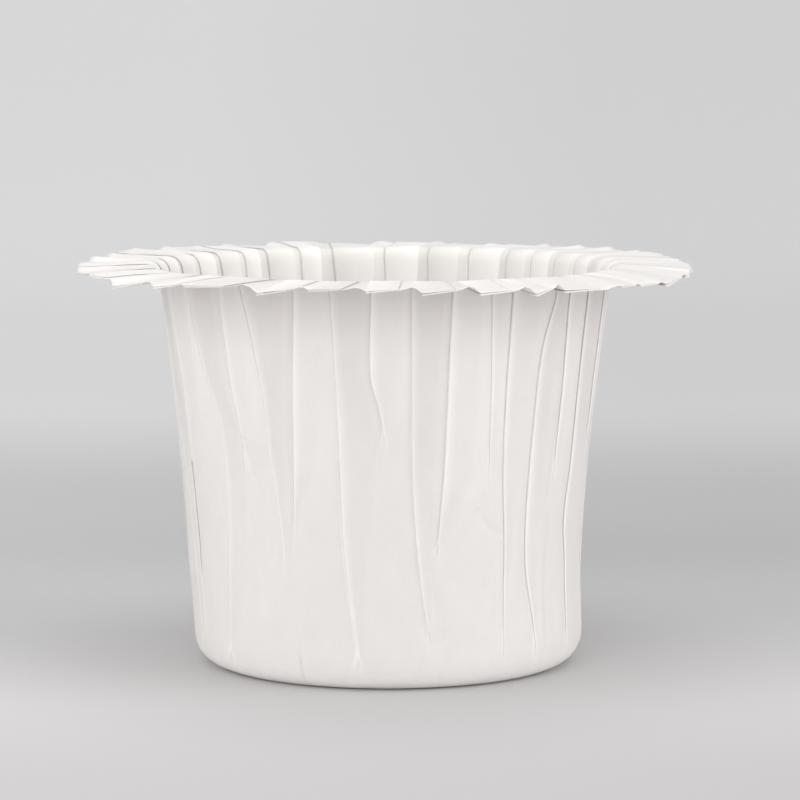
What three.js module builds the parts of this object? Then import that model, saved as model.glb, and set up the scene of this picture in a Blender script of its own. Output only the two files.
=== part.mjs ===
// A pleated paper baking cup, pressed from one round blank: a flat base, a flared wall of knife pleats and
// a rim of the same pleats turned outwards, with a stepped cut edge. Millimetres, +Z up, base on z = 0.

import * as THREE from 'three';
import { mergeGeometries, mergeVertices } from 'three/addons/utils/BufferGeometryUtils.js';

// Driving dimensions of the pressed shape, measured to the middle of the paper
const PAPER_THICKNESS = 0.15;
const FOOT_RADIUS = 25.3;
const CORNER_RADIUS = 3.2;
const MOUTH_RADIUS = 29.3;
const FLARE_START = 22;
const CUP_HEIGHT = 52.1;
const NECK_BEND = 1.7;
const RIM_RADIUS = 39.8;
const RIM_SIDE_DROOP = 0.4;

// How the layers of a pleat lie: the air between them and how far a fold springs open beyond that
const LAYER_CLEARANCE = 0.14;
const WALL_SPRING = 0.2;
const RIM_SPRING = 0.35;
const CUT_STEP = 0.5;
const FOLD_MARGIN = 0.95;

// Main pleats rise from the base corner, and a second pleat starts between each two part way up the wall
const MAIN_PLEATS = 18;
const SECOND_FOLD_RISE = 14;
const FIRST_PLEAT_AZIMUTH = -58;
// Degrees by which each main fold line wanders off its even place at the mouth and at the foot
const MOUTH_DRIFT = [0, 0, 5, 5, 5, 4, 1, -1, 2, 0, -3, -2, 1, 3, 0, -2, -4, -2];
const FOOT_DRIFT = [7, 4, 11, 12, 13, 8, 5, 3, 6, 2, 0, 4, 6, 3, -1, 2, 5, 8];
// Where the second fold line lies between two main ones, and the height at which it starts
const SECOND_PLACE = [0.66, 0.62, 0.5, 0.52, 0.4, 0.48];
const SECOND_START = [25, 15, 28, 15, 28, 25];

// Fineness of the mesh along the profile
const CORNER_STEPS = 2;
const WALL_STEPS = 6;
const NECK_STEPS = 2;
const RIM_STEPS = 2;

// Six stations to a pleat, here on flat paper and where a fold first stands up
const FLAT_STATIONS = [-0.6, -0.35, -0.12, 0.12, 0.35, 0.6];
const RISER_STATIONS = [-0.7, -0.09, -0.03, 0.03, 0.09, 0.7];
const STATIONS = FLAT_STATIONS.length;
// Limits how far a corner of the sheet's face is drawn out where the paper doubles back
const SHARPEST_MITRE = 0.5;

const BASE_RADIUS = FOOT_RADIUS - CORNER_RADIUS;
const LAYER_PITCH = PAPER_THICKNESS + LAYER_CLEARANCE;
const PANEL_LEVEL = LAYER_PITCH / 2;
const PLEATS = 2 * MAIN_PLEATS;
const DEGREE = Math.PI / 180;

const { lerp, smoothstep, clamp } = THREE.MathUtils;

/** The profile's curves from the base's edge to the cut edge, each with its number of steps. */
function profileCurves() {
  const floor = PAPER_THICKNESS / 2;
  const wallFoot = new THREE.Vector2(FOOT_RADIUS, floor + CORNER_RADIUS);
  const flare = new THREE.Vector2(FOOT_RADIUS, FLARE_START);
  const wallTop = new THREE.Vector2(MOUTH_RADIUS, CUP_HEIGHT - NECK_BEND);
  const lean = (wallTop.x - flare.x) / (wallTop.y - flare.y);
  const neckCorner = new THREE.Vector2(wallTop.x + NECK_BEND * lean, CUP_HEIGHT);
  const neckEnd = new THREE.Vector2(neckCorner.x + NECK_BEND, CUP_HEIGHT);
  const cutEdge = new THREE.Vector2(RIM_RADIUS, CUP_HEIGHT);
  const corner = new THREE.EllipseCurve(
    BASE_RADIUS, wallFoot.y, CORNER_RADIUS, CORNER_RADIUS, -Math.PI / 2, 0,
  );
  return [
    [corner, CORNER_STEPS],
    [new THREE.QuadraticBezierCurve(wallFoot, flare, wallTop), WALL_STEPS],
    [new THREE.QuadraticBezierCurve(wallTop, neckCorner, neckEnd), NECK_STEPS],
    [new THREE.LineCurve(neckEnd, cutEdge), RIM_STEPS],
  ];
}

/** Rings of the paper's middle: radius, height, outward normal and distance along the paper from the axis. */
function profileRings() {
  const rings = [{ radius: BASE_RADIUS, height: PAPER_THICKNESS / 2, normal: [0, -1], paper: BASE_RADIUS }];
  let start = BASE_RADIUS;
  for (const [curve, steps] of profileCurves()) {
    for (let step = 1; step <= steps; step++) {
      const point = curve.getPointAt(step / steps);
      const tangent = curve.getTangentAt(step / steps);
      const paper = start + (curve.getLength() * step) / steps;
      rings.push({ radius: point.x, height: point.y, normal: [tangent.y, -tangent.x], paper });
    }
    start += curve.getLength();
  }
  return rings;
}

/** A hand-set value for one pleat, taken round again where there are more pleats than values. */
const pick = (values, index) => values[index % values.length];

/** Azimuth in radians of a main fold line at a height; main lines are counted on past a full turn. */
function mainAzimuth(index, height) {
  const pitch = 360 / MAIN_PLEATS;
  const turn = Math.floor(index / MAIN_PLEATS);
  const own = index - turn * MAIN_PLEATS;
  const rise = smoothstep(height, 0, CUP_HEIGHT);
  const drift = lerp(pick(FOOT_DRIFT, own), pick(MOUTH_DRIFT, own), rise);
  const crowding = MOUTH_DRIFT.length / MAIN_PLEATS;
  return (FIRST_PLEAT_AZIMUTH + pitch * own + drift * crowding + 360 * turn) * DEGREE;
}

/** The ring on which a pleat first stands up: the first in the corner, or the nearest to its own height. */
function startRing(pleat, rings) {
  if (pleat % 2 === 0) return 1;
  const start = pick(SECOND_START, (pleat - 1) / 2);
  const misses = rings.map((ring) => Math.abs(ring.height - start));
  return misses.indexOf(Math.min(...misses));
}

/**
 * Every pleat on one ring, with two more past each end: its line, whether it stands up there, how much of
 * its full share of the spare paper it has taken in, and how far its hidden layers reach along the ring.
 */
function pleatsOnRing(level, rings) {
  const ring = rings[level];
  const spareShare = Math.max(ring.paper / ring.radius - 1, 0) / 2;
  const takenIn = (pleat) => {
    const first = startRing(pleat, rings);
    const risen = ring.height - rings[first].height;
    return level <= first ? 0 : smoothstep(risen, 0, SECOND_FOLD_RISE);
  };
  const pleats = [];
  for (let pleat = -2; pleat <= PLEATS + 1; pleat++) {
    const own = (pleat + PLEATS) % PLEATS;
    const isMain = own % 2 === 0;
    const main = Math.floor(pleat / 2);
    const here = mainAzimuth(main, ring.height) * ring.radius;
    const next = mainAzimuth(main + 1, ring.height) * ring.radius;
    const between = lerp(here, next, pick(SECOND_PLACE, Math.floor(own / 2)));
    const gap = isMain ? between - here : next - between;
    const fed = isMain ? gap + (1 - takenIn(own + 1)) * (next - between) : gap * takenIn(own);
    const first = startRing(own, rings);
    const depth = level > first ? Math.min(spareShare * fed, gap - FOLD_MARGIN) : 0;
    const line = isMain ? here : between;
    pleats.push({ line, depth, raised: level >= first, overlaps: level > first });
  }
  return pleats;
}

/** Height of a fold's outermost layer over the middle of the paper: more on the free rim than on the wall. */
function springAt(ring) {
  const onRim = smoothstep(ring.radius, MOUTH_RADIUS, RIM_RADIUS);
  return LAYER_PITCH + lerp(WALL_SPRING, RIM_SPRING, onRim);
}

/** Level of the open panel between two standing folds, from over one hidden fold to under the next. */
function panelLevel(from, to, along) {
  const start = from.line + from.depth;
  return lerp(PANEL_LEVEL, -PANEL_LEVEL, clamp((along - start) / (to.line - start), 0, 1));
}

/**
 * The folded paper along one ring, as points [along, out]. Each pleat has six: the panel before it at the
 * fold line and at its end in the hidden fold, the return layer's two ends, and the next panel's start at
 * the outer fold and over the hidden fold. A pleat that doesn't stand up yet lies flat on the panel.
 */
function foldRing(level, rings) {
  const pleats = pleatsOnRing(level, rings);
  const standing = pleats.filter((pleat) => pleat.raised);
  const lift = springAt(rings[level]);
  const back = lift - LAYER_PITCH;
  const levels = [-PANEL_LEVEL, -lift, -back, back, lift, PANEL_LEVEL];
  const points = [];
  for (const pleat of pleats.slice(2, PLEATS + 2)) {
    const { line, depth, raised, overlaps } = pleat;
    const [runIn] = RISER_STATIONS;
    const closed = [Math.min(0, depth + runIn), depth, depth, 0, 0, Math.max(depth, -runIn)];
    const open = raised ? RISER_STATIONS : FLAT_STATIONS;
    const places = overlaps ? closed : open;
    const before = standing.findLast((other) => other.line < line);
    const after = standing.find((other) => other.line > line);
    places.forEach((place, station) => {
      const flat = before && after ? panelLevel(before, after, line + place) : 0;
      points.push([line + place, raised ? levels[station] : flat]);
    });
  }
  return points;
}

/** The offset of the paper's outer face at one point of a folded ring, mitred between its two neighbours. */
function mitre(before, here, after) {
  const incoming = new THREE.Vector2(here[0] - before[0], here[1] - before[1]).normalize();
  const outgoing = new THREE.Vector2(after[0] - here[0], after[1] - here[1]).normalize();
  const sum = new THREE.Vector2(-incoming.y - outgoing.y, incoming.x + outgoing.x);
  const half = Math.max(1 + incoming.dot(outgoing), SHARPEST_MITRE);
  return sum.multiplyScalar(PAPER_THICKNESS / 2 / half);
}

/** A point of a folded ring in space, on the outer face for side 1 and the inner face for side -1. */
function pressPoint(ring, points, index, side, isCutEdge) {
  const turn = 2 * Math.PI * ring.radius;
  const last = points.length - 1;
  const before = index > 0 ? points[index - 1] : [points[last][0] - turn, points[last][1]];
  const after = index < last ? points[index + 1] : [points[0][0] + turn, points[0][1]];
  const here = points[index];
  const offset = mitre(before, here, after).multiplyScalar(side);
  const azimuth = (here[0] + offset.x) / ring.radius;
  const out = here[1] + offset.y;
  const cut = isCutEdge ? (CUT_STEP * here[1]) / springAt(ring) : 0;
  const radius = ring.radius + out * ring.normal[0] + cut;
  const reach = clamp((ring.radius - MOUTH_RADIUS) / (RIM_RADIUS - MOUTH_RADIUS), 0, 1);
  const droop = RIM_SIDE_DROOP * reach ** 2 * Math.sin(azimuth) ** 2;
  const height = ring.height + out * ring.normal[1] - droop;
  return new THREE.Vector3(radius * Math.sin(azimuth), -radius * Math.cos(azimuth), height);
}

/**
 * A strip of the flat blank, spun round the axis and pressed to its place. Each point of its section is
 * [level, side]: the number of its ring, or -1 at the axis, and 1 on the outer face or -1 on the inner one.
 */
function pressedStrip(section, rings, folded) {
  const flat = section.map(([level, side]) => {
    const paper = level < 0 ? 0 : rings[level].paper;
    return new THREE.Vector2(paper, (-side * PAPER_THICKNESS) / 2);
  });
  const around = PLEATS * STATIONS;
  const strip = new THREE.LatheGeometry(flat, around);
  const position = strip.getAttribute('position');
  for (let vertex = 0; vertex < position.count; vertex++) {
    const [level, side] = section[vertex % section.length];
    const index = Math.floor(vertex / section.length) % around;
    const point = level < 0
      ? new THREE.Vector3(0, 0, side > 0 ? 0 : PAPER_THICKNESS)
      : pressPoint(rings[level], folded[level], index, side, level === rings.length - 1);
    position.setXYZ(vertex, point.x, point.y, point.z);
  }
  strip.deleteAttribute('normal');
  strip.deleteAttribute('uv');
  return strip;
}

/** The pressed cup: the paper's two faces, cut into the same triangles, joined along the cut edge. */
function pressedCup() {
  const rings = profileRings();
  const folded = rings.map((ring, level) => foldRing(level, rings));
  const levels = [-1, ...rings.keys()];
  const last = rings.length - 1;
  const outside = pressedStrip(levels.map((level) => [level, 1]), rings, folded);
  const inside = pressedStrip(levels.map((level) => [level, -1]), rings, folded);
  inside.index.array.reverse();
  const cutEdge = pressedStrip([[last, 1], [last, -1]], rings, folded);
  const cup = mergeVertices(mergeGeometries([outside, inside, cutEdge]));
  cup.computeVertexNormals();
  return cup;
}

const paper = new THREE.MeshStandardMaterial({ color: 0xe8e5e1, roughness: 0.72, metalness: 0 });
const liner = new THREE.Mesh(pressedCup(), paper);
liner.name = 'pleated_liner';

const group = new THREE.Group();
group.add(liner);

export default group;
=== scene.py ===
"""Looks of a white paper baking cup, folded from one round blank around its solid in the frame.

The blank starts as a flat disc, spun from one radius. Each of its points is then pressed to where the pleats
put it: on the open panel between two folds, under a fold, on the return layer or on the layer over it.
"""

import bisect
import logging
import math
from dataclasses import dataclass, field
from enum import Enum
from functools import reduce

import bmesh
import bpy
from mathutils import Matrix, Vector, noise


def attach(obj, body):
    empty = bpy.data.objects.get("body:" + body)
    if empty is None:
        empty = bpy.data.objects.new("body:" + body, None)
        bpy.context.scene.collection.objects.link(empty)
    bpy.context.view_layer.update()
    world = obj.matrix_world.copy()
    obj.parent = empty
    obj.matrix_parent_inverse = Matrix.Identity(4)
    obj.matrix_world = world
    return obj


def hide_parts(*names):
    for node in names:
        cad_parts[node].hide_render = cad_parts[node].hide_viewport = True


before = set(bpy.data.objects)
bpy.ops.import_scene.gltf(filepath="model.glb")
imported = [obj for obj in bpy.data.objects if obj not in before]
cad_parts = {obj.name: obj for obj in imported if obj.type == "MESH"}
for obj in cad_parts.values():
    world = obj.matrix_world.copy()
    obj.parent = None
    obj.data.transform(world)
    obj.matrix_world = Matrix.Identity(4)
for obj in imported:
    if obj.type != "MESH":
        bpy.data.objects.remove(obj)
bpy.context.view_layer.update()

LOG = logging.getLogger("baking_cup")

MM = 0.001
PHOTO_SIDE = 800
SENSOR_WIDTH = 36.0
WALL_STEEPNESS = 0.9
ROUNDING = 1e-9

Course = tuple[tuple[float, float], ...]
Colour = tuple[float, float, float]


def ease(value: float, start: float, end: float) -> float:
    """Smooth step of a value.

    Args:
        value: The value to judge.
        start: Where the step leaves 0.
        end: Where it reaches 1.

    Returns:
        0 before the start, 1 past the end, and a smooth rise between them.
    """
    share = min(max((value - start) / (end - start), 0.0), 1.0)
    return share * share * (3 - 2 * share)


def mix(first: float, second: float, share: float) -> float:
    """Value between two others, at a share of the way from the first."""
    return first + (second - first) * share


def follow(course: Course, place: float) -> float:
    """Value of a smooth curve through given points, level past both ends.

    Args:
        course: The points as (place, value), in rising order of place.
        place: Where the value is wanted.

    Returns:
        The value there.
    """
    if place <= course[0][0]:
        return course[0][1]
    if place >= course[-1][0]:
        return course[-1][1]
    index = next(number for number, point in enumerate(course) if point[0] > place)
    low, high = course[index - 1], course[index]
    before, after = course[max(index - 2, 0)], course[min(index + 1, len(course) - 1)]
    span = high[0] - low[0]
    share = (place - low[0]) / span
    slope_low = (high[1] - before[1]) / (high[0] - before[0]) * span
    slope_high = (after[1] - low[1]) / (after[0] - low[0]) * span
    square, cube = share ** 2, share ** 3
    return (
        (2 * cube - 3 * square + 1) * low[1]
        + (cube - 2 * square + share) * slope_low
        + (3 * square - 2 * cube) * high[1]
        + (cube - square) * slope_high
    )


def turned_in(degrees: float) -> float:
    """An azimuth brought into the turn from -180 to 180 degrees."""
    return degrees - 360 * round(degrees / 360)


def linear(colour: tuple[int, int, int]) -> Colour:
    """Colour as a shader takes it.

    Args:
        colour: Red, green and blue as shown on a screen, 0 to 255.

    Returns:
        The same colour in linear light, 0 to 1.
    """
    def channel(level: int) -> float:
        """One channel in linear light."""
        part = level / 255
        return part / 12.92 if part <= 0.04045 else ((part + 0.055) / 1.055) ** 2.4

    return tuple(channel(level) for level in colour)


class Layer(Enum):
    """Parts of the paper that one pleat crosses, in the order in which they follow each other."""

    PANEL = "open panel that leads up to the fold"
    UNDER = "end of that panel, under the fold"
    HIDDEN_BEND = "hidden fold, where the paper turns back"
    RETURN = "layer between the two others"
    OUTER_BEND = "outer fold, where it turns forwards again"
    OVER = "layer that shows on the outside"


@dataclass(frozen=True)
class Station:
    """One point across a pleat.

    Attributes:
        layer: The part of the paper on which it lies.
        share: Its place from the outer fold to the hidden one, or along the open panel.
        ridge: How much of the ridge along the outer fold it carries.
    """

    layer: Layer
    share: float
    ridge: float = 0.0


STATIONS: tuple[Station, ...] = (
    *(Station(Layer.PANEL, share) for share in (0.06, 0.3, 0.54, 0.78, 0.93)),
    *(Station(Layer.UNDER, share) for share in (0.03, 0.95)),
    Station(Layer.HIDDEN_BEND, 1.0),
    *(Station(Layer.RETURN, share) for share in (0.95, 0.03)),
    Station(Layer.OUTER_BEND, 0.0, 0.6),
    Station(Layer.OVER, 0.05, 1.0),
    Station(Layer.OVER, 0.15, 0.9),
    Station(Layer.OVER, 0.35, 0.3),
    *(Station(Layer.OVER, share) for share in (0.65, 0.97)),
)
OPEN_STATIONS = sum(station.layer is Layer.PANEL for station in STATIONS)


@dataclass(frozen=True)
class Ring:
    """One circle of the cup's middle surface.

    Attributes:
        paper: Distance along the paper from the middle of the base, mm.
        radius: Radius of the circle, mm.
        height: Height over the table, mm.
        out: Outward normal as (radial, upward).
    """

    paper: float
    radius: float
    height: float
    out: tuple[float, float]

    def on_wall(self) -> bool:
        """Whether it lies on the wall, and not on the base, the neck or the rim."""
        return self.out[0] > WALL_STEEPNESS


@dataclass
class CupProfile:
    """Half section of the cup, measured in millimetres to the middle of the paper."""

    paper_thickness: float = 0.075
    floor_gap: float = 0.075
    foot_radius: float = 25.3
    corner_radius: float = 3.8
    mouth_radius: float = 29.3
    flare_start: float = 22.0
    cup_height: float = 52.1
    neck_bend: float = 1.7
    rim_radius: float = 39.8
    base_steps: int = 6
    corner_steps: int = 6
    wall_steps: int = 55
    neck_steps: int = 6
    rim_steps: int = 11
    fineness: int = 40

    def base_radius(self) -> float:
        """Radius of the flat disc of the base."""
        return self.foot_radius - self.corner_radius

    def _stretches(self) -> list[tuple[int, list[Vector]]]:
        """Stretches of the section from the middle of the base outwards.

        Returns:
            For each stretch its number of rings, and close points along it as (radius, height).
        """
        base = Vector((self.base_radius(), self.floor_gap))
        foot = Vector((self.foot_radius, self.floor_gap + self.corner_radius))
        flare = Vector((self.foot_radius, self.flare_start))
        wall_top = Vector((self.mouth_radius, self.cup_height - self.neck_bend))
        lean = (wall_top.x - flare.x) / (wall_top.y - flare.y)
        neck = Vector((wall_top.x + self.neck_bend * lean, self.cup_height))
        neck_end = Vector((neck.x + self.neck_bend, self.cup_height))
        cut_edge = Vector((self.rim_radius, self.cup_height))
        shares = [step / self.fineness for step in range(self.fineness + 1)]

        def arc(share: float) -> Vector:
            """Point on the rounded base corner."""
            turn = share * math.pi / 2
            centre = Vector((base.x, foot.y))
            return centre + self.corner_radius * Vector((math.sin(turn), -math.cos(turn)))

        def bend(start: Vector, knee: Vector, end: Vector, share: float) -> Vector:
            """Point on a quadratic curve."""
            return start.lerp(knee, share).lerp(knee.lerp(end, share), share)

        centre = Vector((0.0, self.floor_gap))
        return [
            (self.base_steps, [centre.lerp(base, share) for share in shares]),
            (self.corner_steps, [arc(share) for share in shares]),
            (self.wall_steps, [bend(foot, flare, wall_top, share) for share in shares]),
            (self.neck_steps, [bend(wall_top, neck, neck_end, share) for share in shares]),
            (self.rim_steps, [neck_end.lerp(cut_edge, share) for share in shares]),
        ]

    def rings(self) -> list[Ring]:
        """Rings from the middle of the base to the cut edge, evenly spaced along each stretch."""
        rings = [Ring(0.0, 0.0, self.floor_gap, (0.0, -1.0))]
        laid = 0.0
        for steps, points in self._stretches():
            lengths = [0.0]
            for before, after in zip(points, points[1:]):
                lengths.append(lengths[-1] + (after - before).length)
            for step in range(1, steps + 1):
                goal = lengths[-1] * step / steps
                reached = (number for number, length in enumerate(lengths) if length >= goal - ROUNDING)
                index = next(reached, len(points) - 1)
                span = lengths[index] - lengths[index - 1]
                share = min((goal - lengths[index - 1]) / span, 1.0)
                point = points[index - 1].lerp(points[index], share)
                along = (points[index] - points[index - 1]).normalized()
                rings.append(Ring(laid + goal, point.x, point.y, (along.y, -along.x)))
            laid += lengths[-1]
        return rings

    def wall_point(self, azimuth: float, height: float) -> Vector:
        """Point on the middle of the wall.

        Args:
            azimuth: Azimuth in degrees, front 0, right positive.
            height: Height in mm.

        Returns:
            The point in mm.
        """
        wall = [ring for ring in self.rings() if ring.on_wall()]
        radius = follow(tuple((ring.height, ring.radius) for ring in wall), height)
        turn = math.radians(azimuth)
        return Vector((radius * math.sin(turn), -radius * math.cos(turn), height))


@dataclass(frozen=True)
class Pleat:
    """One pleat's outer fold line.

    Attributes:
        course: Places on the line, lowest first, as (height in mm, azimuth in degrees, front 0, right
            positive).
        starts_at: Height in mm where the fold starts, or None where it rises from the base corner.
        spring: How far the outer fold springs open on the wall, mm.
    """

    course: Course
    starts_at: float | None = None
    spring: float = 0.0

    def azimuth(self, height: float) -> float:
        """Azimuth of the fold line at a height in mm, in radians."""
        return math.radians(follow(self.course, height))


def front_pleats() -> dict[int, Pleat]:
    """Pleats that face the viewer, by their place in the full turn."""
    return {
        0: Pleat(((8, -51.5), (14, -50), (26, -49), (33, -49.5), (40, -54.5), (47, -57))),
        1: Pleat(((25, -37.5), (32, -41), (39, -43.8), (50, -44.8)), starts_at=25),
        2: Pleat(((3, -25.3), (12, -27.5), (20, -29.3), (29, -31.8), (37, -33), (51, -37.6))),
        3: Pleat(((17, -25.6), (37, -24), (50, -22.3)), starts_at=17),
        4: Pleat(((1, -7), (10, -9), (20, -11.2), (40, -12.3), (50, -13))),
        5: Pleat(((28, 1.5), (32, 0.5), (36, -1), (40, -3.2), (50, -3)), starts_at=28),
        6: Pleat(((3, 13.8), (12, 11), (24, 8.2), (45, 6.9), (50, 6.7))),
        7: Pleat(((15, 15.5), (19, 15.2), (29, 16.4), (49, 16.9)), starts_at=15),
        8: Pleat(((23, 31.2), (29, 29.6), (37, 29), (50, 27.4)), starts_at=23),
        9: Pleat(((2, 35.6), (16, 36), (26, 34.4), (33, 33.6), (50, 33.2))),
        10: Pleat(((4, 48.5), (8, 47.4), (17, 43.8), (36, 43.8), (43, 44.4), (49, 47.4))),
        11: Pleat(((23, 55.6), (29, 54.4), (38, 54.3), (48, 53)), starts_at=23),
        12: Pleat(((5, 65.4), (14, 64.6), (20, 61.8), (28, 63), (49, 62.2))),
    }


@dataclass(frozen=True)
class Zone:
    """What one pleat does on one ring.

    Attributes:
        line: Place of its outer fold along the ring, mm.
        depth: How far its hidden layers reach to the right of that, mm.
        folded: 0 where the paper is still flat there, 1 where it is fully folded.
        flat_half: Half the width that its points take up on flat paper, mm.
        lift: Level of its outermost layer at the fold line, mm out from the middle surface.
        hang: How far its fold line hangs out past the panel beside it, mm.
        light: Tone of the panel to its right, from 0 for shaded to 1 for lit paper; over the paper's plain
            colour it is painted light and shade.
    """

    line: float
    depth: float
    folded: float
    flat_half: float
    lift: float
    hang: float
    light: float

    def start(self) -> float:
        """Where its own points start along the ring, mm."""
        return mix(self.line - self.flat_half, self.line, self.folded)

    def end(self) -> float:
        """Where its own points end along the ring, mm."""
        return self.line + mix(self.flat_half, self.depth, self.folded)


@dataclass(frozen=True)
class Crease:
    """A small crease in the wall, from handling.

    Attributes:
        places: Points along it as (azimuth in degrees, height in mm).
        width: How wide it is, mm.
        relief: How far it stands out, mm; below zero for a groove.
    """

    places: Course
    width: float
    relief: float

    def relief_at(self, azimuth: float, ring: Ring) -> float:
        """How far the crease moves the wall out at a point.

        Args:
            azimuth: The point's azimuth in degrees.
            ring: The point's ring.

        Returns:
            The relief in mm, which fades to nothing one width away from the crease.
        """
        arc = math.radians(1) * ring.radius
        here = Vector((azimuth * arc, ring.height))
        nearest = math.inf
        for first, last in zip(self.places, self.places[1:]):
            start, end = Vector((first[0] * arc, first[1])), Vector((last[0] * arc, last[1]))
            span = end - start
            share = min(max((here - start).dot(span) / span.length_squared, 0.0), 1.0)
            nearest = min(nearest, (start + span * share - here).length)
        return self.relief * (1 - ease(nearest, 0.0, self.width))


WALL_CREASES: tuple[Crease, ...] = (
    Crease(((-17.5, 44.0), (-12.7, 38.8)), 0.8, -0.07),
    Crease(((4.0, 48.2), (1.1, 44.4)), 0.7, 0.05),
    Crease(((46.7, 47.4), (52.7, 45.5)), 0.6, -0.05),
    Crease(((35.0, 37.9), (40.2, 36.8)), 0.7, 0.05),
    Crease(((26.7, 22.7), (30.2, 20.4)), 0.8, -0.07),
    Crease(((30.2, 20.4), (34.9, 19.5)), 0.7, -0.06),
    Crease(((-40.4, 32.2), (-34.4, 30.9)), 0.7, 0.06),
    Crease(((-40.9, 31.4), (-37.8, 27.0)), 0.8, -0.07),
    Crease(((23.2, 24.4), (21.1, 16.7), (18.5, 8.7)), 2.2, 0.3),
    Crease(((-33.9, 27.8), (-34.6, 15.0), (-33.2, 10.9)), 2.0, -0.2),
)


@dataclass
class PleatedLiner:
    """The paper cup: a round blank with knife pleats all the same way round, pressed to the profile."""

    profile: CupProfile = field(default_factory=CupProfile)
    name: str = "paper_cup"

    # Fold lines, degrees, and heights, mm.
    pleat_count: int = 36
    first_azimuth: float = -58.0
    mouth_drift: tuple[float, ...] = (0, 0, 5, 5, 5, 4, 1, -1, 2, 0, -3, -2, 1, 3, 0, -2, -4, -2)
    foot_drift: tuple[float, ...] = (7, 4, 11, 12, 13, 8, 5, 3, 6, 2, 0, 4, 6, 3, -1, 2, 5, 8)
    line_heights: tuple[float, ...] = (4, 27, 49)
    line_wander: float = 1.2
    second_place: tuple[float, ...] = (0.66, 0.62, 0.5, 0.52, 0.4, 0.48)
    second_start: tuple[float, ...] = (25, 15, 28, 15, 28, 25)
    second_rise: float = 14.0

    # Layers of a pleat, mm.
    layer_pitch: float = 0.085
    bend_reach: float = 0.03
    ridge_height: float = 0.05
    fold_margin: float = 0.95
    full_fold: float = 0.8
    flat_share: float = 0.3
    back_spring: float = 0.03
    bulge_height: float = 0.14
    bulge_mean: float = 0.35
    bulge_sway: float = 1.4
    bulge_size: tuple[float, float] = (24, 16)
    bulge_rise: tuple[float, float] = (1.0, 8.0)

    # Rim, mm by azimuth: how far its folds open, how far each blade hangs at its fold, and how far it sags.
    rim_open: Course = (
        (-180, 0.08), (-85, 0.1), (-40, 0.06), (0, 0.03), (40, 0.05), (62, 0.1), (90, 0.15), (180, 0.08),
    )
    rim_hang: Course = (
        (-180, 0.5), (-100, 0.6), (-70, 0.8), (-40, 0.9), (0, 0.6), (40, 0.6), (65, 0.7), (95, 0.6),
        (180, 0.5),
    )
    rim_sag: Course = (
        (-180, -0.3), (-110, -0.4), (-90, 0.0), (-70, 0.4), (-55, 0.5), (-30, 0.1), (0, 0.0),
        (30, 0.2), (48, 0.7), (62, 0.7), (75, 0.4), (90, 0.2), (120, -0.3), (180, -0.3),
    )
    hang_left: float = 0.5
    hang_fade: tuple[float, float] = (0.0, 0.8)
    hang_rise: tuple[float, float] = (0.6, 1.05)
    blade_spread: float = 1.8
    least_open: float = 0.3
    least_hang: float = 0.2
    rim_wave: float = 0.25
    rim_wave_pace: float = 4.5
    cut_step: float = 0.5

    # Unevenness of the wall, mm, and the heights between which it sets in.
    wave_height: float = 0.24
    wave_size: tuple[float, float] = (9, 30)
    crinkle_height: float = 0.035
    crinkle_size: tuple[float, float] = (1.7, 5)
    uneven_rise: tuple[float, float] = (0.5, 9.0)
    widest_bump: float = 1.5
    foot_shift: float = 0.45
    foot_shift_fade: tuple[float, float] = (2.0, 14.0)

    # Tone, from 0 for the shaded paper to 1 for the lit paper, and the heights where it changes, mm; past
    # the paper's plain colour it is painted light and shade.
    plain_tone: float = 0.22
    # Painted bounce light: the paper is lighter near the foot, where light from the floor falls, fading out
    # between these heights.
    foot_painted_bounce_light: float = 0.75
    foot_painted_bounce_fade: tuple[float, float] = (0.2, 4.0)
    # Painted light: the rim is made lighter, as its top faces the overhead lamp.
    rim_painted_light: float = 0.12
    # Painted light and shade: panels right of a second pleat are lighter, panels left of one darker, fading
    # in between these heights.
    panel_painted_light_and_shade: float = 0.12
    panel_painted_shade_rise: tuple[float, float] = (16.0, 36.0)
    # Painted light: the paper is a little lighter where the pleat's layers lie, standing in for light
    # through them.
    layered_painted_light: float = 0.04
    # Painted highlight along each outer fold, how far across the pleat it reaches, and the share of it kept
    # on the rim.
    fold_painted_highlight: float = 0.65
    fold_highlight_reach: float = 0.22
    rim_highlight_share: float = 0.15

    def pleats(self) -> list[Pleat]:
        """Every pleat in the full turn, starting with the first azimuth and going round to the right."""
        made = front_pleats()
        mains = self.pleat_count // 2
        pitch = 360 / mains

        def line(index: int, drifts: tuple[float, ...]) -> float:
            """Azimuth of a main fold at the mouth or the foot, counted on past a full turn."""
            return self.first_azimuth + pitch * index + drifts[index % mains]

        for index in range(self.pleat_count):
            if index in made:
                continue
            main = index // 2
            mouth, foot = line(main, self.mouth_drift), line(main, self.foot_drift)
            wander = self.line_wander * noise.noise(Vector((index * 1.7, 0.4, 2.1)))
            middle = mix(foot, mouth, 0.5) + wander
            if index % 2 == 0:
                course = tuple(zip(self.line_heights, (foot, middle, mouth)))
                made[index] = Pleat(course, spring=self._spring(index))
                continue
            place = self.second_place[main % len(self.second_place)]
            start = self.second_start[main % len(self.second_start)]
            next_mouth, next_foot = line(main + 1, self.mouth_drift), line(main + 1, self.foot_drift)
            top = mix(mouth, next_mouth, place)
            low = mix(mix(foot, mouth, 0.5), mix(next_foot, next_mouth, 0.5), place) + wander
            course = ((start, low), (self.line_heights[-1], top))
            made[index] = Pleat(course, starts_at=start, spring=self._spring(index))
        return [made[index] for index in range(self.pleat_count)]

    def _spring(self, index: int) -> float:
        """How far one of the pleats away from the viewer springs open, mm."""
        return max(self.back_spring * noise.noise(Vector((index * 2.3, 7.7, 0.5))), 0.0)

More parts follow.
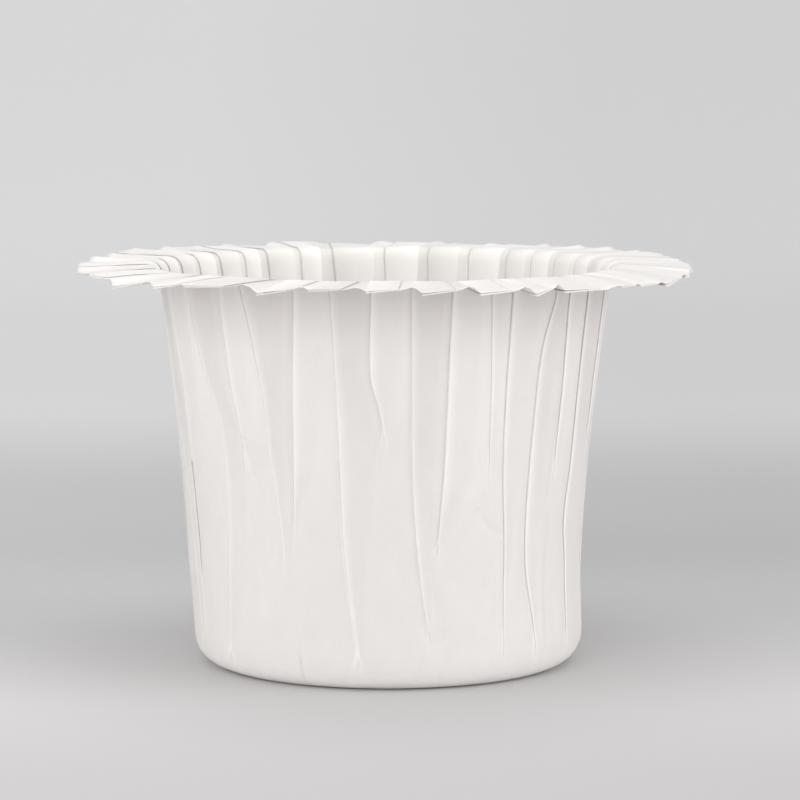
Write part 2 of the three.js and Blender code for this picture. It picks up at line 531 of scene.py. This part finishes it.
    def flat_blank(self, rings: list[Ring]) -> bmesh.types.BMesh:
        """The round blank as cut: one radius with a point for each ring, spun through a full turn.

        Args:
            rings: The rings of the cup, whose distance along the paper is their radius on the blank.

        Returns:
            The flat disc in mm, its outside facing down.
        """
        mesh = bmesh.new()
        points = [mesh.verts.new((0.0, -ring.paper, 0.0)) for ring in rings]
        edges = [mesh.edges.new(pair) for pair in zip(points, points[1:])]
        bmesh.ops.spin(
            mesh, geom=[*points, *edges], cent=(0, 0, 0), axis=(0, 0, 1),
            angle=math.tau, steps=self.pleat_count * len(STATIONS), use_merge=True, use_duplicate=False,
        )
        bmesh.ops.remove_doubles(mesh, verts=mesh.verts, dist=1e-4)
        mesh.normal_update()
        upward = [face for face in mesh.faces if face.normal.z > 0]
        bmesh.ops.reverse_faces(mesh, faces=upward)
        return mesh

    def zones(self, ring: Ring, pleats: list[Pleat]) -> list[Zone]:
        """What every pleat does on one ring.

        The flat blank is wider at each ring than the cup. What it has too much of up to the next standing
        fold is taken in by the pleat before it, half in its return layer and half in the layer under that.

        Args:
            ring: The ring.
            pleats: Every pleat of the full turn.

        Returns:
            One zone for each pleat, in the same order.
        """
        count = len(pleats)
        radius = max(ring.radius, 1e-6)
        spare = max(ring.paper / radius - 1, 0.0) / 2 if ring.radius > 0 else 0.0
        on_rim = ease(ring.radius, self.profile.mouth_radius, self.profile.rim_radius)
        lines = [pleat.azimuth(ring.height) * radius for pleat in pleats]
        gaps = [after - line for line, after in zip(lines, [*lines[1:], lines[0] + math.tau * radius])]
        taken = [
            1.0 if pleat.starts_at is None
            else ease(ring.height, pleat.starts_at, pleat.starts_at + self.second_rise)
            for pleat in pleats
        ]
        supply = [0.0] * count
        for index in reversed(range(2 * count)):
            own, after = index % count, (index + 1) % count
            supply[own] = gaps[own] + (1 - taken[after]) * supply[after]
        # Painted bounce light at the foot, fading out upwards.
        foot_light = self.foot_painted_bounce_light * (1 - ease(ring.height, *self.foot_painted_bounce_fade))
        # Painted light on the rim; plain_tone is the paper's own colour.
        base_light = self.plain_tone + foot_light + self.rim_painted_light * on_rim
        made = []
        for index, pleat in enumerate(pleats):
            depth = min(spare * supply[index] * taken[index], gaps[index] - self.fold_margin)
            folded = ease(max(depth, 0.0), 0.0, self.full_fold)
            azimuth = turned_in(math.degrees(lines[index] / radius))
            loose = 1.0 + self.blade_spread * noise.noise(Vector((index * 5.7, 2.1, 8.3)))
            spring = mix(pleat.spring, follow(self.rim_open, azimuth) * max(loose, self.least_open), on_rim)
            after = (index + 1) % count
            second_after = pleats[after].starts_at is not None
            # Painted light and shade: lighter right of a second pleat, darker left of one.
            shade = taken[index] if pleat.starts_at is not None else -taken[after] * second_after
            made.append(Zone(
                line=lines[index],
                depth=max(depth, 0.0),
                folded=folded,
                flat_half=self.flat_share * min(gaps[index], gaps[index - 1]),
                lift=(self.layer_pitch + spring) * folded,
                hang=follow(self.rim_hang, azimuth) * max(loose, self.least_hang) * on_rim * folded,
                light=base_light + self.panel_painted_light_and_shade * shade * ease(ring.height, *self.panel_painted_shade_rise),
            ))
        return made

    def folded_ring(self, ring: Ring, pleats: list[Pleat]) -> list[tuple[float, float, float]]:
        """Where the folds put the paper on one ring.

        Args:
            ring: The ring.
            pleats: Every pleat of the full turn.

        Returns:
            One (azimuth, level, tone) for each station: radians, mm out from the middle surface, and 0 to 1.
        """
        zones = self.zones(ring, pleats)
        radius = max(ring.radius, 1e-6)
        own_stations = len(STATIONS) - OPEN_STATIONS
        on_wall = 1 - ease(ring.radius, self.profile.mouth_radius, self.profile.rim_radius)
        ridge = self.ridge_height * on_wall
        fold_highlight = self.fold_painted_highlight * mix(self.rim_highlight_share, 1.0, on_wall)
        points = []
        for index, zone in enumerate(zones):
            previous = zones[index - 1]
            previous_end = previous.end() - (math.tau * radius if index == 0 else 0.0)
            previous_pitch = self.layer_pitch * previous.folded
            pitch = self.layer_pitch * zone.folded
            back = zone.lift - pitch
            bulge = self._bulge(index, ring)
            for number, station in enumerate(STATIONS):
                share = station.share
                if station.layer is Layer.PANEL:
                    along = mix(previous_end, zone.start(), share)
                    out = mix(previous_pitch, -zone.lift, ease(share, 0, 1))
                    out += bulge * math.sin(math.pi * share)
                    out += previous.hang * self.hang_left * (1 - ease(share, *self.hang_fade))
                    out += zone.hang * ease(share, *self.hang_rise)
                    points.append((along / radius, out, previous.light))
                    continue
                if station.layer is Layer.UNDER:
                    along, out = zone.depth * share, mix(-zone.lift, -pitch, share)
                elif station.layer is Layer.HIDDEN_BEND:
                    along, out = zone.depth + self.bend_reach, -pitch / 2
                elif station.layer is Layer.RETURN:
                    along, out = zone.depth * share, mix(back, 0.0, share)
                elif station.layer is Layer.OUTER_BEND:
                    along, out = -self.bend_reach, (zone.lift + back) / 2
                else:
                    along, out = zone.depth * share, mix(zone.lift, pitch, share)
                flat_share = (number - OPEN_STATIONS) / (own_stations - 1) * 2 - 1
                place = mix(zone.line + flat_share * zone.flat_half, zone.line + along, zone.folded)
                # Painted light on the layered paper, and a painted highlight along the outer fold.
                nearness = max(1 - share / self.fold_highlight_reach, 0.0)
                tone = zone.light + zone.folded * (self.layered_painted_light + fold_highlight * nearness)
                out += ridge * zone.folded * station.ridge + zone.hang * mix(1.0, self.hang_left, share)
                points.append((place / radius, out, tone))
        return points

    def _bulge(self, index: int, ring: Ring) -> float:
        """How far an open panel bows outwards on a ring, mm; below zero where it bows inwards."""
        along, up = self.bulge_size
        sway = noise.noise(Vector((index * 3.1, ring.height / up, ring.paper / along)))
        rise = ease(ring.height, *self.bulge_rise)
        return self.bulge_height * rise * (self.bulge_mean + self.bulge_sway * sway)

    def press(self, mesh: bmesh.types.BMesh, rings: list[Ring], pleats: list[Pleat]) -> list[float]:
        """Moves each point of the blank to its place in the cup.

        Args:
            mesh: The flat blank.
            rings: The rings of the cup.
            pleats: Every pleat of the full turn.

        Returns:
            The tone at each point, in the order of the mesh's points.
        """
        folded = [self.folded_ring(ring, pleats) for ring in rings]
        borders = [(ring.paper + after.paper) / 2 for ring, after in zip(rings, rings[1:])]
        around = self.pleat_count * len(STATIONS)
        tones = []
        for vert in mesh.verts:
            flat = vert.co.to_2d()
            index = bisect.bisect(borders, flat.length)
            turn = math.atan2(flat.x, -flat.y) % math.tau
            azimuth, level, tone = folded[index][round(turn / math.tau * around) % around]
            vert.co = self._place(rings[index], azimuth, level)
            tones.append(tone)
        return tones

    def _place(self, ring: Ring, azimuth: float, level: float) -> Vector:
        """A pressed point in mm.

        Args:
            ring: Its ring.
            azimuth: Its azimuth in radians.
            level: How far out it lies from the middle surface, mm.

        Returns:
            Where it lies in the cup.
        """
        profile = self.profile
        direction = Vector((math.sin(azimuth), -math.cos(azimuth), 0.0))
        middle = direction * ring.radius + Vector((0, 0, ring.height))
        uneven = ease(ring.height, *self.uneven_rise)
        reach = max(ring.radius - profile.mouth_radius, 0.0) / (profile.rim_radius - profile.mouth_radius)
        wave, crinkle = (
            noise.noise(Vector((middle.x / wide, middle.y / wide, middle.z / tall)) + Vector(place))
            for (wide, tall), place in ((self.wave_size, (0, 0, 0)), (self.crinkle_size, (4, 9, 2)))
        )
        out = level + uneven * (self.wave_height * wave + self.crinkle_height * crinkle)
        degrees = turned_in(math.degrees(azimuth))
        if ring.on_wall():
            wide_creases = (crease for crease in WALL_CREASES if crease.width > self.widest_bump)
            out += sum(crease.relief_at(degrees, ring) for crease in wide_creases)
        radius = ring.radius + ring.out[0] * out + self.cut_step * reach * level
        height = ring.height + ring.out[1] * out
        height -= follow(self.rim_sag, degrees) * reach ** 2
        height += self.rim_wave * reach * noise.noise(direction * self.rim_wave_pace)
        shift = self.foot_shift * (1 - ease(height, *self.foot_shift_fade))
        return direction * radius + Vector((shift, 0, height))

    def build(self, finish: "GreaseproofPaper") -> bpy.types.Object:
        """Makes the cup and dresses it.

        Args:
            finish: The paper's finish.

        Returns:
            The finished piece, in metres, around the solid in the frame.
        """
        rings = self.profile.rings()
        blank = self.flat_blank(rings)
        tones = self.press(blank, rings, self.pleats())
        bmesh.ops.scale(blank, vec=(MM, MM, MM), verts=blank.verts)
        data = bpy.data.meshes.new(self.name)
        blank.to_mesh(data)
        blank.free()
        layers = data.attributes.new("tone", "FLOAT", "POINT")
        layers.data.foreach_set("value", tones)
        data.shade_smooth()
        fine = [crease for crease in WALL_CREASES if crease.width <= self.widest_bump]
        data.materials.append(finish.material(self.profile, fine))
        piece = bpy.data.objects.new(self.name, data)
        bpy.context.scene.collection.objects.link(piece)
        sheet = piece.modifiers.new("paper thickness", "SOLIDIFY")
        sheet.thickness = self.profile.paper_thickness * MM
        sheet.offset = 0.0
        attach(piece, "root")
        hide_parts("pleated_liner")
        return piece


@dataclass(frozen=True)
class GreaseproofPaper:
    """Matt white greaseproof paper: cloudy fibres, a fine tooth and a little light through it."""

    shaded: tuple[int, int, int] = (221, 217, 213)
    lit: tuple[int, int, int] = (250, 247, 244)
    roughness: float = 0.58
    gloss: float = 0.32
    cloud_size: float = 2.2
    cloud_stretch: float = 1.6
    cloud_range: tuple[float, float] = (0.3, 0.7)
    cloud_strength: float = 0.012
    crinkle_size: float = 2.4
    crinkle_stretch: float = 2.2
    crinkle_height: float = 0.16
    tooth_size: float = 0.16
    tooth_height: float = 0.005
    thin_light: float = 0.12
    thin_reach: float = 0.4
    thin_spread: Colour = (1.0, 0.95, 0.88)

    def _crease_relief(self) -> bpy.types.NodeTree:
        """Node group for one straight crease, which gives its relief at a position."""
        tree = bpy.data.node_groups.new("crease_relief", "ShaderNodeTree")
        sockets = (
            ("Position", "NodeSocketVector"), ("Start", "NodeSocketVector"), ("Way", "NodeSocketVector"),
            ("Length", "NodeSocketFloat"), ("Width", "NodeSocketFloat"), ("Relief", "NodeSocketFloat"),
        )
        for name, kind in sockets:
            tree.interface.new_socket(name, in_out="INPUT", socket_type=kind)
        tree.interface.new_socket("Relief", in_out="OUTPUT", socket_type="NodeSocketFloat")
        nodes, links = tree.nodes, tree.links
        given, result = nodes.new("NodeGroupInput"), nodes.new("NodeGroupOutput")

        def vector(operation: str) -> bpy.types.Node:
            """A vector node of one kind."""
            node = nodes.new("ShaderNodeVectorMath")
            node.operation = operation
            return node

        kinds = ("SUBTRACT", "DOT_PRODUCT", "SCALE", "DISTANCE")
        offset, along, nearest, away = (vector(kind) for kind in kinds)
        kept = nodes.new("ShaderNodeClamp")
        fade = nodes.new("ShaderNodeMapRange")
        fade.interpolation_type = "SMOOTHSTEP"
        fade.inputs["From Min"].default_value = 0.0
        fade.inputs["To Max"].default_value = 0.0
        wires = (
            (given, "Position", offset, 0), (given, "Start", offset, 1),
            (offset, "Vector", along, 0), (given, "Way", along, 1),
            (along, "Value", kept, "Value"), (given, "Length", kept, "Max"),
            (given, "Way", nearest, 0), (kept, "Result", nearest, "Scale"),
            (offset, "Vector", away, 0), (nearest, "Vector", away, 1),
            (away, "Value", fade, "Value"), (given, "Width", fade, "From Max"),
            (given, "Relief", fade, "To Min"), (fade, "Result", result, "Relief"),
        )
        for source, output, target, entry in wires:
            links.new(source.outputs[output], target.inputs[entry])
        return tree

    def material(self, profile: CupProfile, creases: list[Crease]) -> bpy.types.Material:
        """The finish as a material.

        Args:
            profile: The cup's profile, on which the creases lie.
            creases: The creases that are too fine for the mesh.

        Returns:
            The paper, its colour mixed from shaded to lit by the mesh's tone attribute, which holds painted
            light and shade.
        """
        made = bpy.data.materials.new("greaseproof_paper")
        made.use_nodes = True
        nodes, links = made.node_tree.nodes, made.node_tree.links
        shader = nodes["Principled BSDF"]
        shader.inputs["Roughness"].default_value = self.roughness
        shader.inputs["Specular IOR Level"].default_value = self.gloss
        shader.inputs["Subsurface Weight"].default_value = self.thin_light
        shader.inputs["Subsurface Radius"].default_value = self.thin_spread
        shader.inputs["Subsurface Scale"].default_value = self.thin_reach * MM
        place = nodes.new("ShaderNodeTexCoord")

        def cloud(size: float, stretch: float, detail: float) -> bpy.types.Node:
            """Noise whose features are a size in mm wide, and as many times taller as the stretch says."""
            mapping = nodes.new("ShaderNodeMapping")
            mapping.inputs["Scale"].default_value = (1.0, 1.0, 1.0 / stretch)
            texture = nodes.new("ShaderNodeTexNoise")
            texture.inputs["Scale"].default_value = 1 / (size * MM)
            texture.inputs["Detail"].default_value = detail
            links.new(place.outputs["Object"], mapping.inputs["Vector"])
            links.new(mapping.outputs["Vector"], texture.inputs["Vector"])
            return texture

        def bump(
            height: bpy.types.NodeSocket, distance: float, under: bpy.types.Node | None = None,
        ) -> bpy.types.Node:
            """Relief over another relief; the distance is what a height of 1 stands for, in mm."""
            node = nodes.new("ShaderNodeBump")
            node.inputs["Distance"].default_value = distance * MM
            links.new(height, node.inputs["Height"])
            if under is not None:
                links.new(under.outputs["Normal"], node.inputs["Normal"])
            return node

        layers = nodes.new("ShaderNodeAttribute")
        layers.attribute_name = "tone"
        # Painted light and shade: the tone attribute mixes the shaded and the lit paper colour.
        tone = nodes.new("ShaderNodeMix")
        tone.data_type = "RGBA"
        tone.inputs["A"].default_value = (*linear(self.shaded), 1)
        tone.inputs["B"].default_value = (*linear(self.lit), 1)
        links.new(layers.outputs["Fac"], tone.inputs["Factor"])

        strength = nodes.new("ShaderNodeMapRange")
        strength.inputs["From Min"].default_value = self.cloud_range[0]
        strength.inputs["From Max"].default_value = self.cloud_range[1]
        strength.inputs["To Min"].default_value = 1 - self.cloud_strength
        strength.inputs["To Max"].default_value = 1 + self.cloud_strength
        clouded = nodes.new("ShaderNodeVectorMath")
        clouded.operation = "SCALE"
        links.new(cloud(self.cloud_size, self.cloud_stretch, 4).outputs["Fac"], strength.inputs["Value"])
        links.new(tone.outputs["Result"], clouded.inputs[0])
        links.new(strength.outputs["Result"], clouded.inputs["Scale"])
        links.new(clouded.outputs["Vector"], shader.inputs["Base Color"])

        group = self._crease_relief()

        def straight(crease: Crease) -> bpy.types.NodeSocket:
            """Relief of one crease, from its first place to its last."""
            start, end = (profile.wall_point(*crease.places[number]) * MM for number in (0, -1))
            line = nodes.new("ShaderNodeGroup")
            line.node_tree = group
            line.inputs["Start"].default_value = start
            line.inputs["Way"].default_value = (end - start).normalized()
            line.inputs["Length"].default_value = (end - start).length
            line.inputs["Width"].default_value = crease.width * MM
            line.inputs["Relief"].default_value = crease.relief
            links.new(place.outputs["Object"], line.inputs["Position"])
            return line.outputs["Relief"]

        def both(first: bpy.types.NodeSocket, second: bpy.types.NodeSocket) -> bpy.types.NodeSocket:
            """Sum of two reliefs."""
            total = nodes.new("ShaderNodeMath")
            total.operation = "ADD"
            links.new(first, total.inputs[0])
            links.new(second, total.inputs[1])
            return total.outputs["Value"]

        creased = bump(reduce(both, map(straight, creases)), 1.0)
        crinkle, tooth = cloud(self.crinkle_size, self.crinkle_stretch, 3), cloud(self.tooth_size, 1.0, 3)
        crinkled = bump(crinkle.outputs["Fac"], self.crinkle_height, creased)
        toothed = bump(tooth.outputs["Fac"], self.tooth_height, crinkled)
        links.new(toothed.outputs["Normal"], shader.inputs["Normal"])
        return made


@dataclass(frozen=True)
class SoftBox:
    """A square lamp that faces the cup.

    Attributes:
        name: The lamp's name.
        place: Its place, mm.
        size: Its side, mm.
        power: Its power in watts.
    """

    name: str
    place: tuple[float, float, float]
    size: float
    power: float


SOFT_BOXES: tuple[SoftBox, ...] = (
    SoftBox("front_softbox", (-270, -950, 210), 900, 5.2),
    SoftBox("right_softbox", (980, -260, 250), 900, 6.1),
    SoftBox("left_softbox", (-960, -170, 250), 900, 3.2),
    SoftBox("overhead_softbox", (0, 100, 1100), 1000, 4.3),
)


@dataclass
class Studio:
    """Floor, backdrop, lamps and camera. Distances are in millimetres."""

    floor_front: float = -900.0
    floor_back: float = 520.0
    sweep_radius: float = 380.0
    backdrop_top: float = 1500.0
    half_width: float = 3000.0
    camera_distance: float = 490.0
    camera_height: float = 88.0
    aim_height: float = 34.2
    aim_side: float = 2.03
    focal_pixels: float = 3773.0
    lamp_aim_height: float = 25.0
    world_strength: float = 0.61
    sweep_turns: int = 16
    floor_roughness: float = 0.9
    floor_gloss: float = 0.1
    toned_stretch: tuple[float, float] = (-100, 900)
    # Painted light and shade along the floor and backdrop, by share of the toned stretch: darker just behind
    # the cup, lighter further back.
    floor_painted_shading: tuple[tuple[float, tuple[int, int, int]], ...] = (
        (0.02, (196, 194, 195)), (0.075, (205, 203, 204)), (0.15, (187, 187, 187)), (0.2, (181, 181, 182)),
        (0.25, (183, 183, 184)), (0.41, (205, 205, 206)), (0.65, (211, 211, 212)), (0.94, (204, 204, 205)),
    )
    # Painted shadow: the floor darkens from left to right by this share, over this half width either side of
    # the cup.
    shaded_side: float = 60.0
    side_painted_shadow: float = 0.04
    view_depth: float = 20000.0

    def floor(self) -> None:
        """One pale sheet that is the floor in front and the backdrop behind."""
        mesh = bmesh.new()
        places = [(self.floor_front, 0.0), (self.floor_back, 0.0)]
        for step in range(1, self.sweep_turns + 1):
            turn = step / self.sweep_turns * math.pi / 2
            side = self.floor_back + self.sweep_radius * math.sin(turn)
            places.append((side, self.sweep_radius * (1 - math.cos(turn))))
        places.append((places[-1][0], self.backdrop_top))
        points = [mesh.verts.new((-self.half_width, y, z)) for y, z in places]
        edges = [mesh.edges.new(pair) for pair in zip(points, points[1:])]
        pulled = bmesh.ops.extrude_edge_only(mesh, edges=edges)["geom"]
        moved = [item for item in pulled if isinstance(item, bmesh.types.BMVert)]
        bmesh.ops.translate(mesh, verts=moved, vec=(2 * self.half_width, 0, 0))
        bmesh.ops.scale(mesh, vec=(MM, MM, MM), verts=mesh.verts)
        bmesh.ops.recalc_face_normals(mesh, faces=mesh.faces)
        mesh.normal_update()
        if mesh.faces[:][0].normal.z < 0:
            bmesh.ops.reverse_faces(mesh, faces=mesh.faces)
        data = bpy.data.meshes.new("floor_sheet")
        mesh.to_mesh(data)
        mesh.free()
        data.shade_smooth()
        data.materials.append(self._floor_finish())
        sheet = bpy.data.objects.new("floor_sheet", data)
        bpy.context.scene.collection.objects.link(sheet)

    def _floor_finish(self) -> bpy.types.Material:
        """Matt pale grey with painted shade: darker just behind the cup, lighter further back, and a painted
        shadow to the right.
        """
        made = bpy.data.materials.new("floor_grey")
        made.use_nodes = True
        nodes, links = made.node_tree.nodes, made.node_tree.links
        shader = nodes["Principled BSDF"]
        shader.inputs["Roughness"].default_value = self.floor_roughness
        shader.inputs["Specular IOR Level"].default_value = self.floor_gloss
        kinds = ("TexCoord", "SeparateXYZ", "Math", "MapRange", "ValToRGB", "MapRange", "VectorMath")
        place, split, along, scaled, ramp, sideways, shaded = (
            nodes.new(f"ShaderNode{kind}") for kind in kinds
        )
        along.operation, shaded.operation = "ADD", "SCALE"
        scaled.inputs["From Min"].default_value = self.toned_stretch[0] * MM
        scaled.inputs["From Max"].default_value = self.toned_stretch[1] * MM
        ramp.color_ramp.interpolation = "EASE"
        while len(ramp.color_ramp.elements) < len(self.floor_painted_shading):
            ramp.color_ramp.elements.new(0.5)
        for element, (share, colour) in zip(ramp.color_ramp.elements, self.floor_painted_shading):
            element.position = share
            element.color = (*linear(colour), 1)
        # Painted shadow to the right of the cup.
        sideways.inputs["From Min"].default_value = -self.shaded_side * MM
        sideways.inputs["From Max"].default_value = self.shaded_side * MM
        sideways.inputs["To Min"].default_value = 1 + self.side_painted_shadow
        sideways.inputs["To Max"].default_value = 1 - self.side_painted_shadow
        wires = (
            (place, "Object", split, "Vector"), (split, "Y", along, 0), (split, "Z", along, 1),
            (along, "Value", scaled, "Value"), (scaled, "Result", ramp, "Fac"),
            (split, "X", sideways, "Value"), (sideways, "Result", shaded, "Scale"),
            (ramp, "Color", shaded, 0), (shaded, "Vector", shader, "Base Color"),
        )
        for source, output, target, entry in wires:
            links.new(source.outputs[output], target.inputs[entry])
        return made

    def lights(self) -> None:
        """Soft light from the front, one lamp on each side, one overhead, and an even surround."""
        aim = Vector((0, 0, self.lamp_aim_height))
        for box in SOFT_BOXES:
            data = bpy.data.lights.new(box.name, "AREA")
            data.size = box.size * MM
            data.energy = box.power
            lamp = bpy.data.objects.new(box.name, data)
            place = Vector(box.place)
            lamp.location = place * MM
            lamp.rotation_euler = (aim - place).to_track_quat("-Z", "Y").to_euler()
            bpy.context.scene.collection.objects.link(lamp)
        world = bpy.data.worlds.new("surround")
        world.use_nodes = True
        surround = world.node_tree.nodes["Background"]
        surround.inputs["Strength"].default_value = self.world_strength
        surround.inputs["Color"].default_value = (1, 1, 1, 1)
        bpy.context.scene.world = world

    def camera(self) -> None:
        """Long lens from just above the rim, a little to the right of the cup's axis."""
        data = bpy.data.cameras.new("camera")
        data.sensor_width = SENSOR_WIDTH
        data.lens = SENSOR_WIDTH * self.focal_pixels / PHOTO_SIDE
        data.clip_end = self.view_depth * MM
        made = bpy.data.objects.new("camera", data)
        place = Vector((self.aim_side, -self.camera_distance, self.camera_height))
        aim = Vector((self.aim_side, 0, self.aim_height))
        made.location = place * MM
        made.rotation_euler = (aim - place).to_track_quat("-Z", "Y").to_euler()
        bpy.context.scene.collection.objects.link(made)
        bpy.context.scene.camera = made

    def build(self) -> None:
        """Sets the stage around the cup."""
        self.floor()
        self.lights()
        self.camera()
        bpy.context.scene.view_settings.view_transform = "Standard"


def write_sizes() -> None:
    """Updates the scene's view layer."""
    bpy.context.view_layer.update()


def main() -> None:
    """Builds the cup and the studio, and reports each piece."""
    logging.basicConfig(level=logging.INFO, format="%(name)s: %(message)s")
    cup = PleatedLiner().build(GreaseproofPaper())
    LOG.info("%s: %d faces before its thickness", cup.name, len(cup.data.polygons))
    Studio().build()
    LOG.info("floor, lamps and camera are in place")
    write_sizes()


if __name__ == "__main__":
    main()
